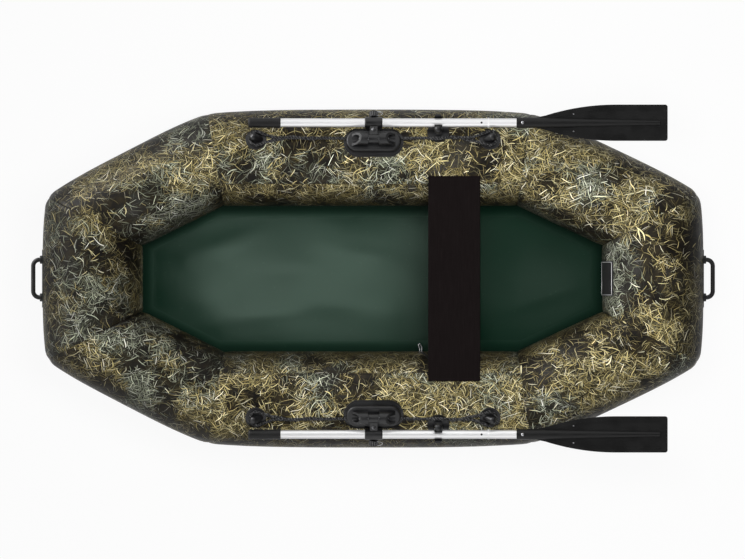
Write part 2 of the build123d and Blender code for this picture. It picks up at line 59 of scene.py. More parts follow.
# How the inflated skin departs from straight mitred tubes
BOW_IN = 0.013            # the outer edge stands this far inside the straight outline at the corners
BOW_POWER = 3.5
END_ROUND = 0.055         # plan radius of the outer corners at the two ends
SIDE_ROUND = 0.13         # plan radius of the outer corners beside the long tubes
GROOVE_DEPTH = 0.0018
GROOVE_WIDTH = 0.012
LAP_WIDTH = 0.014
LAP_STEP = 0.0005
PUCKER_HEIGHT = 0.0030
PUCKER_START = 0.012
PUCKER_REACH = 0.045
UNEVEN = 0.0006
UNEVEN_START = 0.05       # it grows to full over this distance from a weld
PANEL_SEAM = math.radians(-33.3)
SEAM_PAIR = 0.002         # half the angle between the close rows at the panel seam
PANEL_LAP = 0.016
WELD_LINE = 0.004         # half widths of the dark lines at the welds and at the panel seam
PANEL_LINE = 0.0022
# Painted shade round a tube, darker where light falls off on the flanks and rims: degrees where it starts and is
# full, and its strength, inboard then outboard
PAINTED_SHADES = {"stern": ((18, -46, 1.0), (60, 90, 0.3)), "bow": ((-42, -80, 0.8), (12, 52, 1.0)),
          "bow_port": ((-30, -72, 0.9), (34, 66, 0.8)), "bow_starboard": ((-30, -72, 0.9), (34, 66, 0.8)),
          "stern_port": ((-4, -66, 1.0), (70, 90, 0.3)), "stern_starboard": ((10, -62, 1.0), (34, 70, 0.6)),
          "port": ((-26, -68, 1.0), (66, 90, 0.4)), "starboard": ((-22, -64, 1.0), (40, 72, 0.7))}
# Beyond this angle outboard the painted shade fades, over this many degrees and by this share
PAINTED_SHADE_FADE = (72, 30, 0.7)
# How much more of the dark ground shows on some tubes
BARE = {"stern": 1.0, "stern_port": 0.7, "stern_starboard": 1.2, "bow": 0.9, "bow_starboard": 0.8}
PRINT_ALONG, PRINT_ROUND = 5.0, 2.3     # how far the print moves from tube to tube
PANEL_SHIFT = 0.61                      # and round the tube below the panel seam
AROUND = 112
ALONG_STEP = 0.014
SEAM_STEPS = (0.0, 0.003, 0.006, 0.009, 0.0125, 0.014, 0.0146, 0.019, 0.026, 0.036, 0.048, 0.062, 0.078, 0.096)

# Floor sheet
FLOOR_LOW, FLOOR_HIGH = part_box("floor")[0].z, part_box("floor")[1].z
FLOOR_GRID = 0.014
FLOOR_COLUMNS = 50
FLOOR_WAVE, FLOOR_RIPPLE = 0.0035, 0.0012
FLOOR_FLAT = 0.06         # the waves fade out over this length at both ends
# Over the same width the rim also carries a painted shade
FLOOR_RIM = 0.050         # how far inboard of the tubes its rim is dull
FLOOR_ROUGH, RIM_ROUGH = 0.13, 0.75
# Soft folds in it: the ends in plan, the height and the half width
FOLDS = (((-0.60, 0.06), (-0.36, 0.15), 0.0011, 0.030), ((-0.14, 0.09), (0.10, 0.05), 0.0008, 0.026),
         ((-0.30, -0.06), (0.06, -0.12), 0.0007, 0.034), ((-0.52, -0.14), (-0.20, -0.10), 0.0008, 0.024),
         ((0.42, -0.10), (0.66, -0.02), 0.0010, 0.026), ((-0.42, 0.02), (-0.16, 0.04), 0.0007, 0.030))

# Oarlock's hinge line and the stowed oar's axis, port side
HINGE = Vector(next(j["pos_m"] for j in frame["joints"] if j["name"] == "port_oar_lift"))
OAR_LOW, OAR_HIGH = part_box("port_oar_inner_shaft")
OAR_Y, OAR_Z = (OAR_LOW.y + OAR_HIGH.y) / 2, (OAR_LOW.z + OAR_HIGH.z) / 2
SHAFT_R = (OAR_HIGH.z - OAR_LOW.z) / 2


def srgb(red, green, blue):
    """A colour written in 0 to 255 screen values, as linear values for a shader."""
    def linear(c):
        c /= 255
        return c / 12.92 if c <= 0.04045 else ((c + 0.055) / 1.055) ** 2.4
    return linear(red), linear(green), linear(blue), 1.0


def grey(level):
    return srgb(level, level, level)


# Node helpers

def add(tree, kind, inputs=None, **props):
    """A shader node; inputs maps its sockets to plain values or to other nodes' outputs."""
    node = tree.nodes.new("ShaderNode" + kind)
    for key, value in props.items():
        setattr(node, key, value)
    for key, value in (inputs or {}).items():
        if isinstance(value, bpy.types.NodeSocket):
            tree.links.new(value, node.inputs[key])
        else:
            node.inputs[key].default_value = value
    return node


def calc(tree, operation, *values):
    """The result of a sum on numbers."""
    return add(tree, "Math", dict(enumerate(values)), operation=operation).outputs[0]


def times(tree, a, b):
    return calc(tree, "MULTIPLY", a, b)


def minus(tree, a, b):
    return calc(tree, "SUBTRACT", a, b)


def vector(tree, operation, *values):
    """The result of a sum on vectors."""
    return add(tree, "VectorMath", dict(enumerate(values)), operation=operation).outputs[0]


def remap(tree, value, low, high, to_low=0.0, to_high=1.0):
    """value eased from one range to another, and held at the ends."""
    return add(tree, "MapRange", {0: value, 1: low, 2: high, 3: to_low, 4: to_high},
               interpolation_type="SMOOTHSTEP").outputs[0]


def mix(tree, factor, a, b):
    """Colour a, turned to colour b by the factor."""
    return add(tree, "Mix", {0: factor, 6: a, 7: b}, data_type="RGBA").outputs[2]


def ramp(tree, factor, *stops):
    """A colour ramp with stops of (place, colour)."""
    node = add(tree, "ValToRGB", {0: factor})
    elements = node.color_ramp.elements
    while len(elements) < len(stops):
        elements.new(0.5)
    for element, (place, colour) in zip(elements, stops):
        element.position = place
        element.color = colour
    return node.outputs[0]


def cloud(tree, where, scale, detail=2.0, shift=0.0):
    """Noise of that many features a metre, with its own shift so that layers differ."""
    moved = vector(tree, "ADD", where, (shift, shift * 0.7, shift * 0.3))
    node = add(tree, "TexNoise", {"Vector": moved, "Scale": scale, "Detail": detail})
    return node.outputs["Fac"]


def new_material(name, roughness=0.5, metallic=0.0, specular=0.5):
    """A material, its node tree and its shader."""
    mat = bpy.data.materials.new(name)
    mat.use_nodes = True
    tree = mat.node_tree
    shader = tree.nodes["Principled BSDF"]
    shader.inputs["Roughness"].default_value = roughness
    shader.inputs["Metallic"].default_value = metallic
    shader.inputs["Specular IOR Level"].default_value = specular
    return mat, tree, shader


def set_bump(tree, shader, height, strength, distance):
    bump = add(tree, "Bump", {"Height": height, "Strength": strength, "Distance": distance})
    tree.links.new(bump.outputs["Normal"], shader.inputs["Normal"])


def place(tree):
    """Where the point is on its piece, in metres."""
    return add(tree, "TexCoord").outputs["Object"]


# Materials

STRAW = ((0.0, srgb(92, 82, 50)), (0.3, srgb(146, 132, 84)), (0.6, srgb(192, 178, 122)),
         (0.88, srgb(222, 212, 166)), (1.0, srgb(240, 236, 216)))
SAGE = ((0.0, srgb(90, 93, 78)), (0.35, srgb(140, 145, 122)), (0.7, srgb(188, 193, 170)),
        (0.92, srgb(214, 217, 200)), (1.0, srgb(238, 238, 230)))


def straw_layer():
    """Node group: one layer of curved dry stalks, each in its own long cell, laid over the colour below."""
    tree = bpy.data.node_groups.new("straw_layer", "ShaderNodeTree")
    sockets = (("Base", "Color"), ("Vector", "Vector"), ("Turn", "Float"), ("Length", "Float"), ("Width", "Float"),
               ("Thick", "Float"), ("Cover", "Float"), ("Zone", "Float"), ("Light", "Float"))
    for name, kind in sockets:
        tree.interface.new_socket(name, in_out="INPUT", socket_type="NodeSocket" + kind)
    tree.interface.new_socket("Color", in_out="OUTPUT", socket_type="NodeSocketColor")
    given = tree.nodes.new("NodeGroupInput").outputs
    result = tree.nodes.new("NodeGroupOutput").inputs
    length, width, thick = given["Length"], given["Width"], given["Thick"]
    turned = add(tree, "VectorRotate", {"Vector": given["Vector"], "Angle": given["Turn"]}, rotation_type="Z_AXIS")
    flat = add(tree, "SeparateXYZ", {0: turned.outputs[0]}).outputs
    cell = add(tree, "CombineXYZ", {0: calc(tree, "DIVIDE", flat[0], length),
                                    1: calc(tree, "DIVIDE", flat[1], width)}).outputs[0]
    cells = add(tree, "TexVoronoi", {"Vector": cell, "Scale": 1.0, "Randomness": 0.9}, voronoi_dimensions="2D")
    away = add(tree, "SeparateXYZ", {0: vector(tree, "SUBTRACT", cell, cells.outputs["Position"])}).outputs
    chance = add(tree, "SeparateColor", {0: cells.outputs["Color"]}).outputs
    dx = times(tree, away[0], length)
    dy = times(tree, away[1], width)
    tilt = times(tree, minus(tree, chance[0], 0.5), 0.50)
    bend = times(tree, minus(tree, chance[1], 0.5), 12.0)
    dy = minus(tree, dy, times(tree, dx, tilt))
    dy = minus(tree, dy, times(tree, times(tree, dx, dx), bend))
    half = times(tree, length, calc(tree, "MULTIPLY_ADD", chance[2], 0.22, 0.26))
    reach = calc(tree, "DIVIDE", dx, half)
    taper = calc(tree, "MAXIMUM", minus(tree, 1.0, times(tree, reach, reach)), 0.0)
    body = times(tree, calc(tree, "SQRT", taper), calc(tree, "MULTIPLY_ADD", chance[1], 0.7, 0.65))
    body = calc(tree, "ADD", times(tree, thick, body), 0.00002)
    across = calc(tree, "DIVIDE", dy, body)
    stalk = remap(tree, calc(tree, "ABSOLUTE", across), 1.1, 0.7)
    shade = remap(tree, calc(tree, "ABSOLUTE", calc(tree, "ADD", across, 0.9)), 2.4, 0.8)
    luck = calc(tree, "FRACT", calc(tree, "MULTIPLY_ADD", chance[0], 7.13, times(tree, chance[2], 3.71)))
    here = calc(tree, "LESS_THAN", luck, given["Cover"])
    here = times(tree, here, calc(tree, "GREATER_THAN", taper, 0.0))
    tone = calc(tree, "FRACT", calc(tree, "MULTIPLY_ADD", chance[1], 5.77, times(tree, chance[0], 2.3)))
    zone = calc(tree, "ADD", given["Zone"], times(tree, minus(tree, chance[2], 0.5), 0.9))
    colour = mix(tree, remap(tree, zone, 0.35, 0.65), ramp(tree, tone, *STRAW), ramp(tree, tone, *SAGE))
    light = times(tree, remap(tree, across, -1.0, 0.9, 0.6, 1.08), given["Light"])
    colour = add(tree, "VectorMath", {0: colour, "Scale": light}, operation="SCALE").outputs[0]
    dark = times(tree, times(tree, shade, here), 0.62)
    below = mix(tree, dark, given["Base"], srgb(14, 13, 10))
    tree.links.new(mix(tree, times(tree, stalk, here), below, colour), result["Color"])
    return tree


# Straw layers from the bottom up: turn in degrees, cell length and width, stalk half width, share, light
LAYERS = ((12, 0.044, 0.0056, 0.0007, 0.80, 0.16), (101, 0.040, 0.0053, 0.0007, 0.80, 0.20),
          (58, 0.046, 0.0056, 0.0007, 0.80, 0.25), (149, 0.042, 0.0054, 0.0007, 0.80, 0.32),
          (33, 0.040, 0.0056, 0.0007, 0.78, 0.43), (122, 0.048, 0.0060, 0.0008, 0.78, 0.54),
          (79, 0.042, 0.0060, 0.0007, 0.76, 0.70), (168, 0.046, 0.0062, 0.0008, 0.74, 0.90),
          (21, 0.042, 0.0064, 0.0008, 0.72, 1.10), (112, 0.048, 0.0067, 0.0008, 0.68, 1.28),
          (66, 0.044, 0.0070, 0.0009, 0.62, 1.46), (157, 0.050, 0.0078, 0.0009, 0.56, 1.62),
          (40, 0.054, 0.0092, 0.0010, 0.48, 1.75), (131, 0.060, 0.0124, 0.0011, 0.40, 1.86))
TUFT_FROM, TUFT_TO = 0.38, 0.56     # where the noise begins to make a tuft, and where the tuft is full
THIN = 0.18                         # the share of stalks that stay between the tufts
BARE_SHIFT = 0.06
BEND = 0.05                         # how far the stalks wander, metres
# How far the painted shade and the dark weld lines darken the print
PAINTED_SHADE_DEPTH, WELD_DEPTH = 0.77, 0.3


def camouflage():
    """Coated fabric printed with dry grass: dark ground, then layer on layer of stalks. Each layer's place takes a
    trace of the colour below, so that the shader works the layers out one after another."""
    mat, tree, shader = new_material("camouflage_fabric", specular=0.12)
    flat = add(tree, "UVMap", uv_map="print").outputs[0]
    patch = cloud(tree, flat, 9.0, 4.0, 3.1)
    ground = ramp(tree, patch, (0.30, srgb(10, 9, 7)), (0.48, srgb(21, 19, 16)), (0.60, srgb(36, 34, 30)),
                  (0.72, srgb(60, 59, 57)))
    blotch = remap(tree, cloud(tree, flat, 42.0, 4.0, 8.3), 0.40, 0.66)
    colour = mix(tree, times(tree, blotch, 0.45), ground, srgb(60, 52, 35))
    zone = remap(tree, cloud(tree, flat, 4.2, 2.0, 17.9), 0.45, 0.70)
    bare = add(tree, "Attribute", attribute_name="bare").outputs["Fac"]
    tuft = minus(tree, cloud(tree, flat, 7.5, 3.0, 31.7), times(tree, bare, BARE_SHIFT))
    warp = add(tree, "TexNoise", {"Vector": flat, "Scale": 13.0, "Detail": 1.0}).outputs["Color"]
    warp = vector(tree, "MULTIPLY", vector(tree, "SUBTRACT", warp, (0.5, 0.5, 0.5)), (BEND, BEND, 0.0))
    bent = vector(tree, "ADD", flat, warp)
    group = straw_layer()
    for i, (turn, length, width, thick, share, light) in enumerate(LAYERS):
        moved = vector(tree, "ADD", bent, (1.37 * i, 0.91 * i, 0.0))
        moved = vector(tree, "MULTIPLY_ADD", colour, (1e-7, 1e-7, 0.0), moved)
        cover = remap(tree, tuft, TUFT_FROM, TUFT_TO, THIN * share, share)
        given = {"Base": colour, "Vector": moved, "Turn": math.radians(turn), "Length": length, "Width": width,
                 "Thick": thick, "Cover": cover, "Zone": zone, "Light": light}
        colour = add(tree, "Group", given, node_tree=group).outputs["Color"]
    # Painted shade on the tubes' flanks and rims, read from the shade attribute
    shade = add(tree, "Attribute", attribute_name="shade").outputs["Fac"]
    colour = mix(tree, times(tree, shade, PAINTED_SHADE_DEPTH), colour, srgb(7, 6, 5))
    weld = add(tree, "Attribute", attribute_name="weld").outputs["Fac"]
    colour = mix(tree, times(tree, weld, WELD_DEPTH), colour, srgb(20, 18, 15))
    tree.links.new(colour, shader.inputs["Base Color"])
    gloss = remap(tree, cloud(tree, flat, 30.0, 3.0, 5.0), 0.3, 0.7, 0.40, 0.54)
    tree.links.new(gloss, shader.inputs["Roughness"])
    weave = add(tree, "TexVoronoi", {"Vector": flat, "Scale": 900.0}, voronoi_dimensions="2D").outputs["Distance"]
    grain = calc(tree, "ADD", times(tree, weave, 0.25), cloud(tree, flat, 60.0, 3.0, 2.0))
    set_bump(tree, shader, grain, 0.25, 0.0012)
    return mat


def green_fabric():
    """Dark green coated fabric, with a fine weave under the coating, a few faint scuffs, and a rim that is rougher
    and darkened with painted shade.
    """
    mat, tree, shader = new_material("green_fabric", specular=0.14)
    shader.inputs["Specular Tint"].default_value = (0.74, 1.0, 0.84, 1.0)
    where = place(tree)
    tone = cloud(tree, where, 3.0, 2.0, 1.3)
    colour = ramp(tree, tone, (0.3, srgb(6, 30, 19)), (0.7, srgb(8, 35, 23)))
    scuff = remap(tree, cloud(tree, where, 90.0, 5.0, 9.0), 0.64, 0.78)
    colour = mix(tree, times(tree, scuff, 0.10), colour, srgb(84, 108, 92))
    # Painted shade along the rim under the tubes, from the shade attribute; the rim is also rougher
    rim = add(tree, "Attribute", attribute_name="shade").outputs["Fac"]
    colour = mix(tree, times(tree, rim, 0.55), colour, srgb(3, 10, 7))
    tree.links.new(remap(tree, rim, 0.0, 0.8, FLOOR_ROUGH, RIM_ROUGH), shader.inputs["Roughness"])
    tree.links.new(colour, shader.inputs["Base Color"])
    weave = add(tree, "TexWave", {"Vector": where, "Scale": 110.0}, bands_direction="X").outputs["Fac"]
    weft = add(tree, "TexWave", {"Vector": where, "Scale": 110.0}, bands_direction="Y").outputs["Fac"]
    set_bump(tree, shader, calc(tree, "ADD", weave, weft), 0.08, 0.0005)
    return mat


def moulded(name, dark, light, roughness, grain=900.0, strength=0.25, specular=0.25):
    """Moulded plastic or rubber: fine grain, slow changes of tone and faint grey scuffs."""
    mat, tree, shader = new_material(name, specular=specular)
    where = place(tree)
    tone = cloud(tree, where, 22.0, 3.0, 2.2)
    colour = ramp(tree, tone, (0.3, dark), (0.7, light))
    scuff = remap(tree, cloud(tree, where, 160.0, 6.0, 6.6), 0.62, 0.78)
    colour = mix(tree, times(tree, scuff, 0.07), colour, srgb(110, 110, 108))
    tree.links.new(colour, shader.inputs["Base Color"])
    tree.links.new(remap(tree, tone, 0.3, 0.7, roughness - 0.06, roughness + 0.08), shader.inputs["Roughness"])
    set_bump(tree, shader, cloud(tree, where, grain, 2.0, 0.4), strength, 0.0006)
    return mat


def board():
    """Near-black stained board with a faint lengthwise grain."""
    mat, tree, shader = new_material("dark_board", roughness=0.66, specular=0.06)
    where = vector(tree, "MULTIPLY", place(tree), (14.0, 1.0, 14.0))
    grain = add(tree, "TexNoise", {"Vector": where, "Scale": 18.0, "Detail": 5.0}).outputs["Fac"]
    colour = ramp(tree, grain, (0.3, srgb(14, 10, 10)), (0.6, srgb(18, 14, 14)), (0.8, srgb(23, 18, 18)))
    tree.links.new(colour, shader.inputs["Base Color"])
    set_bump(tree, shader, grain, 0.18, 0.0006)
    return mat


def drawn_metal(name, dark, light, roughness, metallic=1.0):
    """Drawn or brushed metal with streaks along X."""
    mat, tree, shader = new_material(name, metallic=metallic)
    where = vector(tree, "MULTIPLY", place(tree), (1.5, 400.0, 400.0))
    streak = add(tree, "TexNoise", {"Vector": where, "Scale": 1.0, "Detail": 4.0}).outputs["Fac"]
    tree.links.new(ramp(tree, streak, (0.3, dark), (0.7, light)), shader.inputs["Base Color"])
    tree.links.new(remap(tree, streak, 0.3, 0.7, roughness - 0.07, roughness + 0.10), shader.inputs["Roughness"])
    set_bump(tree, shader, streak, 0.06, 0.0004)
    return mat


def rope_fibre():
    """Black braided cord: dull fibres, with a painted highlight of paler grey in diagonal bands on the crowns of the
    strands and painted shade between them.
    """
    mat, tree, shader = new_material("black_rope", roughness=0.5, specular=0.3)
    where = place(tree)
    # Painted highlight and painted shade: diagonal bands, paler on the strands' crowns and dark between
    crown = add(tree, "TexWave", {"Vector": where, "Scale": 62.8, "Distortion": 0.4}, bands_direction="DIAGONAL")
    tone = times(tree, crown.outputs["Fac"], remap(tree, cloud(tree, where, 300.0, 3.0, 1.0), 0.2, 0.6))
    tree.links.new(ramp(tree, tone, (0.35, grey(9)), (0.9, grey(84))), shader.inputs["Base Color"])
    set_bump(tree, shader, cloud(tree, where, 1500.0, 2.0, 3.0), 0.4, 0.0005)
    return mat


BLACK, CHARCOAL = srgb(13, 13, 14), srgb(24, 24, 25)
MATERIALS = {
    "camo_skin": camouflage(),
    "floor_skin": green_fabric(),
    "seat_board": board(),
    "patch": moulded("rubber_patch", grey(20), grey(32), 0.55, 700.0),
    "handle": moulded("moulded_rubber", grey(20), grey(34), 0.48, 800.0),
    "fitting": moulded("moulded_plastic", BLACK, CHARCOAL, 0.38, 900.0, 0.15, 0.4),
    "rope": rope_fibre(),
    "pin_steel": drawn_metal("plain_steel", srgb(150, 150, 152), srgb(205, 205, 208), 0.30),
    "shaft_metal": drawn_metal("satin_aluminium", srgb(210, 210, 211), grey(232), 0.32, 0.45),
    "joint_plastic": moulded("pale_plastic", grey(222), grey(240), 0.40, 900.0, 0.1),
    "grip": moulded("grip_rubber", grey(13), grey(24), 0.50, 1100.0, 0.4),
    "blade": moulded("blade_plastic", grey(6), grey(14), 0.46, 700.0, 0.4),
}
DULL_STEEL = drawn_metal("dull_steel", srgb(84, 84, 86), srgb(120, 120, 122), 0.42)
# Paler plastic for the knob's rib crowns: a painted highlight
RIB_HIGHLIGHT_PLASTIC = moulded("painted_highlight_plastic", grey(84), grey(116), 0.42, 900.0, 0.15, 0.4)

for part in frame["record"]["subparts"]:
    for material_slot in frame["nodes"][part["node"]].material_slots:
        material_slot.material = MATERIALS[part["material_slot"]]


# Mesh helpers

def piece(name, verts, faces, body, slot, material=None, flat=()):
    """A smooth mesh piece that rides on a body; faces whose index is in flat stay flat."""
    mesh = bpy.data.meshes.new(name)
    mesh.from_pydata([tuple(v) for v in verts], [], faces)
    mesh.polygons.foreach_set("use_smooth", [i not in flat for i in range(len(faces))])
    mesh.materials.append(material or MATERIALS[slot])
    mesh.update()
    obj = bpy.data.objects.new(name, mesh)
    bpy.context.scene.collection.objects.link(obj)
    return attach(obj, body)


def grid_faces(rows, columns, wrap=False, start=0):
    """Quads over a grid of points that are listed row by row."""
    faces = []
    for r in range(rows - 1):
        for c in range(columns if wrap else columns - 1):
            d = (c + 1) % columns
            faces.append((start + r * columns + c, start + r * columns + d,
                          start + (r + 1) * columns + d, start + (r + 1) * columns + c))
    return faces


def grid_rim(rows, columns):
    """The points round the edge of such a grid, in order."""
    rim = [r * columns for r in range(rows)] + [(rows - 1) * columns + c for c in range(1, columns)]
    return rim + [r * columns + columns - 1 for r in range(rows - 2, -1, -1)] + list(range(columns - 2, 0, -1))


def circle(centre, side, other, radius, count):
    """Points round a circle that lies in two directions."""
    turns = [2 * math.pi * k / count for k in range(count)]
    return [centre + radius * (math.cos(a) * side + math.sin(a) * other) for a in turns]


def tube_along(points, radius, sides, closed=False):
    """A round tube along points; radius is one number or one a point."""
    count = len(points)
    radii = radius if hasattr(radius, "__len__") else [radius] * count
    verts, side = [], None
    for i, p in enumerate(points):
        ahead = points[(i + 1) % count] if closed or i < count - 1 else p
        behind = points[i - 1] if closed or i > 0 else p
        way = (ahead - behind).normalized()
        if side is None:
            side = way.orthogonal().normalized()
        side = (side - way * side.dot(way)).normalized()
        verts += circle(p, side, way.cross(side), radii[i], sides)
    faces = grid_faces(count, sides, wrap=True)
    if closed:
        last = (count - 1) * sides
        faces += [(last + k, last + (k + 1) % sides, (k + 1) % sides, k) for k in range(sides)]
    else:
        faces += [tuple(reversed(range(sides))), tuple(range((count - 1) * sides, count * sides))]
    return verts, faces


def lathe(profile, centre, axis, sides):
    """A closed turned form: profile is (radius, height) from the bottom's middle to the top's middle."""
    side = axis.orthogonal().normalized()
    verts = [centre + axis * profile[0][1]]
    for r, h in profile[1:-1]:
        verts += circle(centre + axis * h, side, axis.cross(side), r, sides)
    verts.append(centre + axis * profile[-1][1])
    rings = len(profile) - 2
    faces = [(0, 1 + (k + 1) % sides, 1 + k) for k in range(sides)]
    faces += grid_faces(rings, sides, wrap=True, start=1)
    last, base = len(verts) - 1, 1 + (rings - 1) * sides
    faces += [(last, base + k, base + (k + 1) % sides) for k in range(sides)]
    return verts, faces


def join(*parts):
    """Several (verts, faces) as one."""
    verts, faces = [], []
    for v, f in parts:
        shift = len(verts)
        verts += list(v)
        faces += [tuple(i + shift for i in face) for face in f]
    return verts, faces


# Inflated hull

def plan(corner):
    """A plan corner as a point on the ground."""
    return Vector((corner[0], corner[1], 0.0))


def corner_at(i, angle):
    """Plan corner of the ring at an angle round the tube: 0 on top, positive outboard. Outer corners are drawn in."""
    i %= len(OUTER)
    out = math.sin(angle)
    middle = plan(INNER[i]).lerp(plan(OUTER[i]), (1 + out) / 2)
    inward = (plan(INNER[i]) - plan(OUTER[i])).normalized()
    return middle + inward * BOW_IN * max(0.0, out) ** 3


def run_of(side, angle):
    """The straight run of one tube at an angle: its start, its length, its direction and the way outboard."""
    start = corner_at(side, angle)
    run = corner_at(side + 1, angle) - start
    along = run.normalized()
    return start, run.length, along, Vector((-along.y, along.x, 0.0))


def turn_at(i):
    """Angle by which the ring turns at a corner."""
    count = len(OUTER)
    here = plan(OUTER[i % count])
    return (here - plan(OUTER[i % count - 1])).angle(plan(OUTER[(i + 1) % count]) - here)


def rounding(i, angle):
    """Plan radius of the corner at an angle round the tube, how far along the run its arc reaches, and where along
    the run the arc's middle, which carries the weld, stands."""
    radius = (END_ROUND if i % len(OUTER) in END_CORNERS else SIDE_ROUND) * max(0.0, math.sin(angle)) ** 1.5
    half = turn_at(i) / 2
    return radius, radius * math.tan(half), radius * (math.tan(half) - math.sin(half))


def skin_point(side, angle, along, lift=0.0):
    """A point of the inflated skin. along is a distance from the start (0.0 up) or back from the end (-0.0 down), or,
    as a tuple, a share of the run between the close steps. Returns the point, the distance to the nearer weld and
    the place along the run from its middle."""
    start, length, way, out = run_of(side, angle)
    r0, t0, m0 = rounding(side, angle)
    r1, t1, m1 = rounding(side + 1, angle)
    clear = length - m0 - m1
    if isinstance(along, tuple):
        reach = SEAM_STEPS[-1]
        at = m0 + reach + along[0] * (clear - 2 * reach)
    else:
        at = m0 + along if math.copysign(1, along) > 0 else length - m1 + along
    inset = 0.0
    if at < t0:
        inset += r0 - math.sqrt(max(0.0, r0 ** 2 - (t0 - at) ** 2))
    if length - at < t1:
        inset += r1 - math.sqrt(max(0.0, r1 ** 2 - (t1 - length + at) ** 2))
    bow = BOW_IN * max(0.0, math.sin(angle)) ** 3 * (1 - abs(2 * at / length - 1) ** BOW_POWER)
    weld = min(at - m0, length - m1 - at)
    normal = out * math.sin(angle) + Vector((0, 0, math.cos(angle)))
    point = start + way * at + out * (bow - inset)
    point.z = TUBE_R + TUBE_R * math.cos(angle)
    point += normal * (lift + swell(side, angle, at, weld, at - m0))
    point.z = max(0.0, point.z)
    return point, weld, at - length / 2


def swell(side, angle, at, weld, from_start):
    """How far the skin stands out of the smooth tube: weld groove, lap, puckers and slow unevenness."""
    inner = 0.5 - 0.5 * math.sin(angle)
    out = -GROOVE_DEPTH * (0.25 + 0.75 * inner) * math.exp(-(weld / GROOVE_WIDTH) ** 2)
    if from_start < LAP_WIDTH + 0.0003:
        out += LAP_STEP
    if PANEL_SEAM < angle and SIDES[side] in LONG_SIDES:
        out += LAP_STEP * math.exp(-((angle - PANEL_SEAM) * TUBE_R / PANEL_LAP) ** 2)
    corner = (side if from_start < weld + 1e-6 else side + 1) % len(OUTER)
    fold = noise.noise(Vector((angle * 5.2, 3.1 * corner, 7.0)))
    fold += 0.6 * noise.noise(Vector((angle * 10.7, 1.7 * corner, 2.0)))
    fade = math.exp(-weld / PUCKER_REACH) * (1 - math.exp(-weld / PUCKER_START))
    out += PUCKER_HEIGHT * (0.35 + 0.65 * inner) * fold * fade
    broad = noise.noise(Vector((at * 5.0, angle * 1.3, 9.1 * side)))
    return out + UNEVEN * broad * min(1.0, weld / UNEVEN_START)


def angles_round():
    """Angles round the tube from the underside over the inboard side, with a close pair at the panel seam."""
    even = [-math.pi + 2 * math.pi * k / AROUND for k in range(AROUND)]
    step = math.pi / AROUND
    kept = [a for a in even if abs(a - PANEL_SEAM) > step]
    return sorted(kept + [PANEL_SEAM - SEAM_PAIR, PANEL_SEAM + SEAM_PAIR])


def along_places(side):
    """Places along a tube: close steps near both welds and even steps between."""
    length = run_of(side, 0.0)[1]
    middle = max(3, round((length - 2 * SEAM_STEPS[-1]) / ALONG_STEP))
    places = list(SEAM_STEPS)
    places += [(k / middle,) for k in range(1, middle)]
    return places + [-s if s else -0.0 for s in reversed(SEAM_STEPS)]


def painted_shade_at(name, angle):
    """How far the painted shade darkens the print at an angle round a tube."""
    total = 0.0
    for start, full, strength in PAINTED_SHADES[name]:
        share = min(1.0, max(0.0, (math.degrees(angle) - start) / (full - start)))
        total = max(total, strength * share * share * (3 - 2 * share))
    fade_from, over, loss = PAINTED_SHADE_FADE
    return total * (1 - loss * min(1.0, max(0.0, (math.degrees(angle) - fade_from) / over)))


def hull_tube(side):
    """One inflated tube length, closed at its welds, with its print laid out flat in metres."""
    angles, places = angles_round(), along_places(side)
    long_side = SIDES[side] in LONG_SIDES
    columns = len(angles)
    verts, flat, welds, painted_shades = [], [], [], []
    for p in places:
        for a in angles:
            point, weld, at = skin_point(side, a, p)
            verts.append(point)
            flat.append((at, a * TUBE_R))
            seam = 0.6 * math.exp(-(weld / WELD_LINE) ** 2)
            panel = 0.8 * math.exp(-((a - PANEL_SEAM) * TUBE_R / PANEL_LINE) ** 2)
            welds.append(max(seam, panel) if long_side else seam)
            painted_shades.append(painted_shade_at(SIDES[side], a))
    rows = len(places)
    faces = [tuple(reversed(f)) for f in grid_faces(rows, columns, wrap=True)]
    ends = [tuple(range(columns)), tuple(reversed(range((rows - 1) * columns, rows * columns)))]
    name = "skin_" + SIDES[side]
    obj = piece(name, verts, faces + ends, "hull", "camo_skin", flat=(len(faces), len(faces) + 1))
    mesh = obj.data
    layer = mesh.uv_layers.new(name="print")
    around = 2 * math.pi * TUBE_R
    for polygon in mesh.polygons:
        loop_points = [mesh.loops[k].vertex_index for k in polygon.loop_indices]
        heights = [flat[v][1] for v in loop_points]
        over = max(heights) - min(heights) > around / 2
        low_panel = min(heights) < (PANEL_SEAM - 2 * SEAM_PAIR) * TUBE_R and not over and long_side
        for k, v in zip(polygon.loop_indices, loop_points):
            along, round_it = flat[v]
            if over and round_it < 0:
                round_it += around
            shift = PRINT_ROUND * side + (PANEL_SHIFT if low_panel else 0.0)
            layer.data[k].uv = (along + PRINT_ALONG * side, round_it + shift)
    bare = [BARE.get(SIDES[side], 0.0)] * len(verts)
    for kind, values in (("weld", welds), ("shade", painted_shades), ("bare", bare)):
        mesh.attributes.new(kind, "FLOAT", "POINT").data.foreach_set("value", values)
    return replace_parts(obj, "tube_" + SIDES[side])


for tube_index in range(len(SIDES)):
    hull_tube(tube_index)


# Floor sheet and the tapes that weld it to the tubes

# The sheet runs on to where it meets the undersides of the tubes: its port corners, from the stern
FLOOR_OUT = -math.sqrt(TUBE_R ** 2 - (TUBE_R - FLOOR_HIGH) ** 2) / TUBE_R
FLOOR_CORNERS = [plan(INNER[i]).lerp(plan(OUTER[i]), (1 + FLOOR_OUT) / 2) for i in (1, 2, 3, 4)]


def floor_edge(x):
    """Half width of the floor sheet at x."""
    for a, b in zip(FLOOR_CORNERS, FLOOR_CORNERS[1:]):
        if a.x <= x <= b.x:
            return a.y + (b.y - a.y) * (x - a.x) / (b.x - a.x)
    return FLOOR_CORNERS[0].y if x < FLOOR_CORNERS[0].x else FLOOR_CORNERS[-1].y


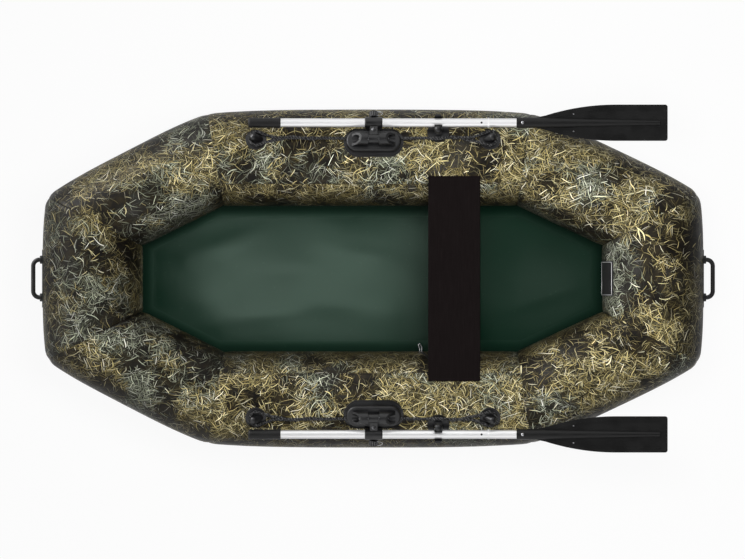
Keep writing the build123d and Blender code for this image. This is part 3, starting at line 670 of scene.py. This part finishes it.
def fold_height(x, y):
    """How far the soft folds lift the floor sheet."""
    lift = 0.0
    for (x0, y0), (x1, y1), height, width in FOLDS:
        along, length = Vector((x1 - x0, y1 - y0)), math.hypot(x1 - x0, y1 - y0)
        share = Vector((x - x0, y - y0)).dot(along) / length ** 2
        off = (Vector((x - x0, y - y0)) - along * min(1.0, max(0.0, share))).length
        lift += height * math.exp(-(off / width) ** 2) * math.exp(-(2 * share - 1) ** 2)
    return lift


def floor_sheet():
    """The floor, slightly waved and softly folded, with its rim marked for the painted shade and the higher roughness
    under the tubes.
    """
    ends = [corner.x for corner in FLOOR_CORNERS]
    lap = TUBE_R * (1 + FLOOR_OUT)
    xs = []
    for a, b in zip(ends, ends[1:]):
        steps = round((b - a) / FLOOR_GRID)
        xs += [a + (b - a) * k / steps for k in range(steps)]
    xs.append(ends[-1])
    columns = FLOOR_COLUMNS
    top, bottom, rim_shade = [], [], []
    for x in xs:
        half = floor_edge(x)
        for k in range(columns):
            share = 2 * k / (columns - 1) - 1
            y = share * half
            inside = (1 - share ** 8) * min(1.0, (x - ends[0]) / FLOOR_FLAT, (ends[-1] - x) / FLOOR_FLAT)
            wave = FLOOR_WAVE * noise.noise(Vector((x * 2.2, y * 3.4, 4.0)))
            wave += FLOOR_RIPPLE * noise.noise(Vector((x * 7.0, y * 8.0, 1.0))) + fold_height(x, y)
            top.append(Vector((x, y, FLOOR_HIGH + inside * wave)))
            bottom.append(Vector((x, y, FLOOR_LOW + inside * wave)))
            inboard = min(half - abs(y), x - ends[0], ends[-1] - x) - lap
            rim_shade.append(1 - min(1.0, max(0.0, inboard / FLOOR_RIM)) ** 0.8)
    rows, size = len(xs), len(top)
    faces = [tuple(reversed(f)) for f in grid_faces(rows, columns)]
    faces += grid_faces(rows, columns, start=size)
    rim = grid_rim(rows, columns)
    faces += [(a, b, b + size, a + size) for a, b in zip(rim, rim[1:] + rim[:1])]
    obj = piece("floor_sheet", top + bottom, faces, "hull", "floor_skin")
    obj.data.attributes.new("shade", "FLOAT", "POINT").data.foreach_set("value", rim_shade * 2)
    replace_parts(obj, "floor")
    return obj


TAPE_FROM, TAPE_TO = math.radians(-134), math.radians(-164)
TAPE_THICK, TAPE_SUNK = 0.0018, 0.0004
TAPE_ROWS = [0.002, 0.03, 0.06] + [(k / 12,) for k in range(1, 12)] + [-0.06, -0.03, -0.002]


def floor_tapes():
    """Strips welded along the inner undersides of the tubes."""
    parts = []
    steps = 10
    for side in range(len(SIDES)):
        verts = []
        for row in TAPE_ROWS:
            for lift in (TAPE_THICK, -TAPE_SUNK):
                for k in range(steps):
                    share = k / (steps - 1) if lift > 0 else 1 - k / (steps - 1)
                    verts.append(skin_point(side, TAPE_FROM + (TAPE_TO - TAPE_FROM) * share, row, lift)[0])
        faces = grid_faces(len(TAPE_ROWS), 2 * steps, wrap=True)
        last = (len(TAPE_ROWS) - 1) * 2 * steps
        faces += [tuple(reversed(range(2 * steps))), tuple(range(last, last + 2 * steps))]
        parts.append((verts, faces))
    obj = piece("floor_tapes", *join(*parts), "hull", "floor_skin")
    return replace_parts(obj, "floor_bands")


floor_tapes()
sheet = floor_sheet()


# Braided grab lines

BRAID_PITCH = 0.040
BRAID_CORE = 0.0026
BRAID_WEAVE = 0.0005
STRAND_R = 0.0024
ROPE_R = BRAID_CORE + BRAID_WEAVE + STRAND_R
ROPE_STEP = 0.0018
LINE_ANGLE = math.radians(21.5)
LOOP_R = 0.0232
EYE_OPEN = math.radians(125)        # the eye runs from this angle to the same one on the other side
EYE_STEPS = 64
FORK, THROAT = 0.030, 0.026         # how far behind the eye the line forks and the tail comes back to it
SPLICE_LENGTH = 0.150
SPLICE_TURNS = 1.25
TAIL_OFF = 1.2                      # how far the tail starts off the line, in rope radii


def braid(points, scales):
    """Four interlaced strands along points; scales gives the rope's size at each point, 1 for full size."""
    parts = []
    side, turn, frames = None, 0.0, []
    for i, p in enumerate(points):
        way = (points[min(i + 1, len(points) - 1)] - points[max(i - 1, 0)]).normalized()
        side = way.orthogonal() if side is None else side
        side = (side - way * side.dot(way)).normalized()
        turn += 2 * math.pi * (p - points[max(i - 1, 0)]).length / BRAID_PITCH
        frames.append((p, side.copy(), way.cross(side), turn))
    for k in range(4):
        way = 1 if k < 2 else -1
        strand = []
        for (p, side, other, turn), scale in zip(frames, scales):
            angle = way * turn + (k % 2) * math.pi
            reach = scale * (BRAID_CORE + way * BRAID_WEAVE * math.cos(2 * turn))
            strand.append(p + reach * (math.cos(angle) * side + math.sin(angle) * other))
        parts.append(tube_along(strand, [STRAND_R * scale for scale in scales], 6))
    return join(*parts)


def even_steps(corners):
    """The polyline through the corners as points one rope step apart."""
    points = []
    for a, b in zip(corners, corners[1:]):
        steps = max(1, round((b - a).length / ROPE_STEP))
        points += [a.lerp(b, k / steps) for k in range(steps)]
    return points + [corners[-1]]


def eye_rope(near, far):
    """A port rope along X from its seat to its eye loop, with the tail spliced back along it."""
    way = 1 if far.x > near.x else -1
    across = Vector((0.0, math.cos(LINE_ANGLE), -math.sin(LINE_ANGLE)))
    up = Vector((0.0, math.sin(LINE_ANGLE), math.cos(LINE_ANGLE)))
    ahead = Vector((float(way), 0.0, 0.0))
    centre = far - ahead * (LOOP_R + ROPE_R)
    loop = []
    for k in range(EYE_STEPS + 1):
        a = EYE_OPEN * (1 - 2 * k / EYE_STEPS)
        loop.append(centre + LOOP_R * (math.cos(a) * ahead + math.sin(a) * across))
    fork = centre - ahead * (LOOP_R + FORK) + across * ROPE_R * 0.5
    route = even_steps([near, fork] + loop)
    tail_from = centre - ahead * (LOOP_R + THROAT) - across * ROPE_R * TAIL_OFF
    tail = even_steps([loop[-1], tail_from])
    steps = round(SPLICE_LENGTH / ROPE_STEP)
    for k in range(1, steps + 1):
        share = k / steps
        turn = math.pi * (1 + 2 * SPLICE_TURNS * share)
        reach = ROPE_R * (1.25 - 0.75 * share)
        tail.append(tail_from + across * ROPE_R * TAIL_OFF - ahead * SPLICE_LENGTH * share
                    + reach * (math.cos(turn) * across + 0.8 * math.sin(turn) * up))
    taper = [1.0 - 0.6 * max(0.0, (i - len(tail) * 0.45) / (len(tail) * 0.55)) for i in range(len(tail))]
    return join(braid(route, [1.0] * len(route)), braid(tail, taper))


HANDS = (("port", 1), ("starboard", -1))


def mirrored(parts, sign):
    """A port form as it is, or mirrored to starboard."""
    verts, faces = parts
    if sign > 0:
        return verts, faces
    return [Vector((v.x, -v.y, v.z)) for v in verts], [tuple(reversed(f)) for f in faces]


for end in ("bow", "stern"):
    low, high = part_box(f"port_{end}_grab_line")
    mid = (low + high) / 2
    seat_x, eye_x = (low.x, high.x) if end == "bow" else (high.x, low.x)
    rope = eye_rope(Vector((seat_x, mid.y, mid.z)), Vector((eye_x, mid.y, mid.z)))
    for side, sign in HANDS:
        line = piece(f"{side}_{end}_rope", *mirrored(rope, sign), "hull", "rope")
        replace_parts(line, f"{side}_{end}_grab_line")


# Small trim on the oars and oarlocks

STEM = Vector((0.0, OAR_Y - HINGE.y, OAR_Z - HINGE.z)).normalized()
STEM_UP = Vector((0.0, -STEM.z, STEM.y))
STEM_FOOT = Vector((HINGE.x, OAR_Y, OAR_Z))     # where the stem crosses the oar's axis
UP = Vector((0.0, 0.0, 1.0))


def dome(centre, axis, radius, height):
    """A round-headed rivet or button."""
    profile = [(0, -0.001), (radius, -0.001), (radius, height * 0.15), (radius * 0.92, height * 0.5),
               (radius * 0.7, height * 0.82), (radius * 0.35, height * 0.97), (0, height)]
    return lathe(profile, centre, axis, 20)


def hex_nut(centre, axis, across, height, bore):
    """A six-sided nut with a rounded stud end in it, on a thin washer."""
    side = axis.orthogonal().normalized()
    corner = across / math.sqrt(3)
    verts = []
    for h, scale in ((0.0, 1.0), (height * 0.82, 1.0), (height, 0.9)):
        verts += circle(centre + axis * h, side, axis.cross(side), corner * scale, 6)
    faces = grid_faces(3, 6, wrap=True) + [tuple(reversed(range(6))), tuple(range(12, 18))]
    washer = lathe([(0, -0.0004), (across * 0.72, -0.0004), (across * 0.72, 0.0010), (0, 0.0010)], centre, axis, 24)
    stud = lathe([(0, 0), (bore, 0), (bore, height + 0.0016), (bore * 0.7, height + 0.0026), (0, height + 0.0028)],
                 centre, axis, 16)
    return join((verts, faces), washer, stud)


def ring(centre, normal, radius, wire):
    """A closed ring of wire."""
    side = normal.orthogonal().normalized()
    return tube_along(circle(centre, side, normal.cross(side), radius, 48), wire, 8, closed=True)


KNOB_RIBS = 12
RIB_R = 0.0013
RIB_RISE = 0.0004


def knob_ribs(centre):
    """Rounded crowns on the port knob's ribs, from its foot over the edge of its cap, in a paler plastic that is a
    painted highlight.
    """
    node = frame["nodes"]["port_oar_knob"]
    points = [node.matrix_world @ v.co - centre for v in node.data.vertices]
    heights = [p.dot(STEM) for p in points]
    low, high = min(heights), max(heights)
    crown = max((p - STEM * h).length for p, h in zip(points, heights)) - RIB_R + RIB_RISE
    profile = ((crown, low + RIB_R), (crown, high - 0.0030), (crown - 0.0012, high - 0.0012),
               (crown - 0.0045, high - RIB_R))
    bars = []
    for k in range(KNOB_RIBS):
        a = 2 * math.pi * (k + 0.5) / KNOB_RIBS
        out = Vector((math.cos(a), 0.0, 0.0)) + math.sin(a) * STEM_UP
        bars.append(tube_along([centre + out * r + STEM * h for r, h in profile], RIB_R, 8))
    return join(*bars)


PIN_HOLE = 0.034          # along the stem from the oar's axis
RING_R, RING_WIRE = 0.014, 0.0010
NUT_PLACE = 0.030         # along the stem from the hinge
NECK_HALF = 0.0085
NUT_ACROSS, NUT_HEIGHT, STUD_R = 0.010, 0.005, 0.0028
# Places along the oar, then radii and heights
BUTTON_X, BUTTON = 0.344, (0.0035, 0.0022)
RIVET_X, RIVET = 0.474, (0.0050, 0.0026)
BLADE_DOT_X, BLADE_DOT = 0.636, (0.0026, 0.0012)
BLADE_DOT_Y = 0.028
SOCKET_R = 0.017
BLADE_HALF = 0.0025


def on_oar(x, height, across=0.0):
    """A place over the port oar's axis."""
    return Vector((x, OAR_Y + across, OAR_Z + height))


nut_at = HINGE + STEM * NUT_PLACE + STEM_UP * NECK_HALF
ring_at = STEM_FOOT + STEM * PIN_HOLE + Vector((RING_R, 0.0, 0.0))
ring_normal = (STEM_UP * 0.75 + STEM * 0.5).normalized()
studs = [dome(on_oar(BLADE_DOT_X, BLADE_HALF, y), UP, *BLADE_DOT) for y in (-BLADE_DOT_Y, BLADE_DOT_Y)]
OAR_TRIM = (
    ("stem_nut", hex_nut(nut_at, STEM_UP, NUT_ACROSS, NUT_HEIGHT, STUD_R), "pin_steel", DULL_STEEL),
    ("knob_ribs", knob_ribs(STEM_FOOT), "fitting", RIB_HIGHLIGHT_PLASTIC),
    ("cotter_ring", ring(ring_at, ring_normal, RING_R, RING_WIRE), "pin_steel", None),
    ("push_button", dome(on_oar(BUTTON_X, SHAFT_R), UP, *BUTTON), "fitting", None),
    ("blade_rivet", dome(on_oar(RIVET_X, SOCKET_R), UP, *RIVET), "pin_steel", None),
    ("blade_studs", join(*studs), "pin_steel", None),
)

for side, sign in HANDS:
    for name, form, slot, material in OAR_TRIM:
        piece(f"{side}_{name}", *mirrored(form, sign), side + "_oar", slot, material)


# Strap down the starboard tube from under the seat, with a bent wire hook at its end

STARBOARD = SIDES.index("starboard")
STRAP_HALF, STRAP_THICK, STRAP_SUNK = 0.0045, 0.0016, 0.0002
STRAP_STEPS = 16
STRAP_FROM, STRAP_TO = (0.184, math.radians(-54)), (0.1515, math.radians(-80))
HOOK_WIRE, HOOK_LIFT = 0.0015, 0.0012
# The hook seen from above, from its fixed end round to the other: along the boat, then inboard
HOOK = ((0.0032, -0.004), (0.0036, 0.006), (0.0037, 0.014), (0.0012, 0.020), (-0.0032, 0.0255), (-0.0066, 0.0225),
        (-0.0070, 0.0180), (-0.0050, 0.0150), (-0.0032, 0.0120), (-0.0029, 0.006), (-0.0032, -0.004))


def starboard_flank(x, angle, lift):
    """A point over the starboard tube at x and an angle round it."""
    start = run_of(STARBOARD, angle)[0]
    return skin_point(STARBOARD, angle, start.x - x, lift)[0]


def seat_strap():
    """The flat strap, laid on the tube's inboard flank."""
    verts = []
    for k in range(STRAP_STEPS + 1):
        share = k / STRAP_STEPS
        x = STRAP_FROM[0] + (STRAP_TO[0] - STRAP_FROM[0]) * share
        angle = STRAP_FROM[1] + (STRAP_TO[1] - STRAP_FROM[1]) * share
        for edge, lift in ((-1, STRAP_THICK), (1, STRAP_THICK), (1, -STRAP_SUNK), (-1, -STRAP_SUNK)):
            verts.append(starboard_flank(x + edge * STRAP_HALF, angle, lift))
    last = 4 * STRAP_STEPS
    faces = grid_faces(STRAP_STEPS + 1, 4, wrap=True) + [(3, 2, 1, 0), tuple(range(last, last + 4))]
    piece("seat_strap", verts, faces, "hull", "patch", flat=range(len(faces)))


def seat_hook():
    """The bent wire at the strap's end."""
    end = starboard_flank(*STRAP_TO, HOOK_LIFT)
    bends = [end + Vector((along, inboard, 0.0)) for along, inboard in HOOK]
    wire = [a.lerp(b, k / 4) for a, b in zip(bends, bends[1:]) for k in range(4)] + bends[-1:]
    piece("seat_hook", *tube_along(wire, HOOK_WIRE, 8), "hull", "pin_steel")


seat_strap()
seat_hook()


# Blank plate on the bow tube's inner face

BOW = SIDES.index("bow")
PLATE_HALF = 0.056
PLATE_FROM, PLATE_TO = math.radians(-52), math.radians(-92)
PLATE_THICK, PLATE_SUNK = 0.0014, 0.0004
PLATE_ROWS, PLATE_COLUMNS = 14, 12
BORDER_R = 0.0009
BORDER_STEPS = 20
BORDER = ((0.035, 0.07), (0.965, 0.07), (0.965, 0.93), (0.035, 0.93))   # its corners, as shares of the plate


def plate_point(across, down, lift):
    """A point over the bow tube's inner face, at shares of the plate across it and down it."""
    angle = PLATE_FROM + (PLATE_TO - PLATE_FROM) * down
    length = run_of(BOW, angle)[1]
    reach = SEAM_STEPS[-1]
    at = length / 2 + PLATE_HALF * (2 * across - 1)
    return skin_point(BOW, angle, ((at - reach) / (length - 2 * reach),), lift)[0]


def blank_plate():
    """The thin plate, which follows the tube."""
    rows, columns = PLATE_ROWS, PLATE_COLUMNS
    verts = []
    for lift in (PLATE_THICK, -PLATE_SUNK):
        for r in range(rows):
            verts += [plate_point(r / (rows - 1), c / (columns - 1), lift) for c in range(columns)]
    size = rows * columns
    faces = [tuple(reversed(f)) for f in grid_faces(rows, columns, start=size)]
    faces += grid_faces(rows, columns)
    rim = grid_rim(rows, columns)
    faces += [(b, a, a + size, b + size) for a, b in zip(rim, rim[1:] + rim[:1])]
    piece("blank_plate", verts, faces, "hull", "patch")


def plate_border():
    """The pale line that frames the plate."""
    line = []
    for (x0, y0), (x1, y1) in zip(BORDER, BORDER[1:] + BORDER[:1]):
        for k in range(BORDER_STEPS):
            share = k / BORDER_STEPS
            line.append(plate_point(x0 + (x1 - x0) * share, y0 + (y1 - y0) * share, PLATE_THICK))
    piece("plate_border", *tube_along(line, BORDER_R, 6, closed=True), "hull", "joint_plastic")


blank_plate()
plate_border()


# Stage, light and camera

STAGE_HALF, STAGE_DROP = 30.0, 0.0005
STAGE_WHITE, STAGE_MATT = 1.05, 0.40
STAGE_SEEN = 0.90         # the share of the white where the stage is seen; the rest takes the shadow
AMBIENT = 0.07
SIDE_GLOW = (0.06, 1.6)   # light in reflections towards the bow, and towards the sides and the stern
ZENITH = 0.14             # the share of it straight above
CAMERA_HEIGHT = 40.0
FOCUS_HEIGHT = 0.16
VIEW_WIDTH = 2.370
VIEW_CENTRE = (-0.0016, -0.0030)
SENSOR = 36.0


def studio_floor():
    """Mostly white where it is seen, and a matt grey that lights the boat a little from below."""
    mat = bpy.data.materials.new("studio_floor")
    mat.use_nodes = True
    tree = mat.node_tree
    tree.nodes.clear()
    path = add(tree, "LightPath").outputs
    seen = calc(tree, "MAXIMUM", path["Is Glossy Ray"], path["Is Transmission Ray"])
    seen = calc(tree, "MAXIMUM", path["Is Camera Ray"], seen)
    white = add(tree, "Emission", {"Color": (1.0, 1.0, 1.0, 1.0), "Strength": STAGE_WHITE}).outputs[0]
    matt = add(tree, "BsdfDiffuse", {"Color": (STAGE_MATT, STAGE_MATT, STAGE_MATT, 1.0)}).outputs[0]
    both = add(tree, "MixShader", {0: times(tree, seen, STAGE_SEEN), 1: matt, 2: white}).outputs[0]
    add(tree, "OutputMaterial", {"Surface": both})
    mesh = bpy.data.meshes.new("studio_floor")
    corners = [(x * STAGE_HALF, y * STAGE_HALF, -STAGE_DROP) for x, y in ((-1, -1), (1, -1), (1, 1), (-1, 1))]
    mesh.from_pydata(corners, [], [(0, 1, 2, 3)])
    mesh.materials.append(mat)
    obj = bpy.data.objects.new("studio_floor", mesh)
    bpy.context.scene.collection.objects.link(obj)


def studio_world():
    """White where it is seen, a soft gradient in reflections and an even low light elsewhere."""
    world = bpy.data.worlds.new("studio")
    bpy.context.scene.world = world
    world.use_nodes = True
    tree = world.node_tree
    tree.nodes.clear()
    path = add(tree, "LightPath").outputs
    direction = add(tree, "TexCoord").outputs["Generated"]
    ahead, _, up = add(tree, "SeparateXYZ", {0: direction}).outputs
    sides = remap(tree, ahead, 0.8, 0.1, *SIDE_GLOW)
    mirror_light = times(tree, sides, remap(tree, up, 0.80, 0.97, 1.0, ZENITH))
    shiny = calc(tree, "MAXIMUM", path["Is Glossy Ray"], path["Is Transmission Ray"])
    extra = times(tree, shiny, minus(tree, mirror_light, AMBIENT))
    level = calc(tree, "ADD", AMBIENT, extra)
    to_white = times(tree, path["Is Camera Ray"], minus(tree, 1.0, level))
    level = calc(tree, "ADD", level, to_white)
    back = add(tree, "Background", {"Color": (1.0, 1.0, 1.0, 1.0), "Strength": level}).outputs[0]
    add(tree, "OutputWorld", {"Surface": back})


def softbox(name, where, target, size, power, in_reflections=True, on_matt=True, only_on=None):
    """A rectangular lamp of that many watts; only_on keeps its light to one piece."""
    lamp = bpy.data.lights.new(name, "AREA")
    lamp.shape = "RECTANGLE"
    lamp.size, lamp.size_y = size
    lamp.energy = power
    obj = bpy.data.objects.new(name, lamp)
    obj.location = where
    obj.rotation_euler = (Vector(target) - Vector(where)).to_track_quat("-Z", "Y").to_euler()
    obj.visible_camera = False
    obj.visible_glossy = in_reflections
    obj.visible_diffuse = on_matt
    if only_on:
        obj.light_linking.receiver_collection = bpy.data.collections.new(name + "_lights")
        obj.light_linking.receiver_collection.objects.link(only_on)
    bpy.context.scene.collection.objects.link(obj)


studio_floor()
studio_world()
softbox("overhead", (0.50, 0.35, 3.2), (0.35, 0.1, 0.0), (2.2, 1.3), 106.0, in_reflections=False)
softbox("middle", (-0.23, 0.01, 1.3), (-0.23, 0.01, 0.0), (0.74, 0.33), 5.6, on_matt=False, only_on=sheet)
softbox("bow", (0.55, 0.0, 1.3), (0.55, 0.0, 0.0), (0.36, 0.24), 0.62, on_matt=False, only_on=sheet)
softbox("stern_low", (-2.7, 1.8, 1.1), (-0.8, 0.35, 0.2), (2.4, 0.9), 120.0, on_matt=False)

camera = bpy.data.cameras.new("camera")
camera.sensor_width = SENSOR
camera.lens = SENSOR * (CAMERA_HEIGHT - FOCUS_HEIGHT) / VIEW_WIDTH
camera.clip_end = 100.0
camera_object = bpy.data.objects.new("camera", camera)
camera_object.location = (*VIEW_CENTRE, CAMERA_HEIGHT)
bpy.context.scene.collection.objects.link(camera_object)
bpy.context.scene.camera = camera_object
bpy.context.scene.view_settings.view_transform = "Standard"
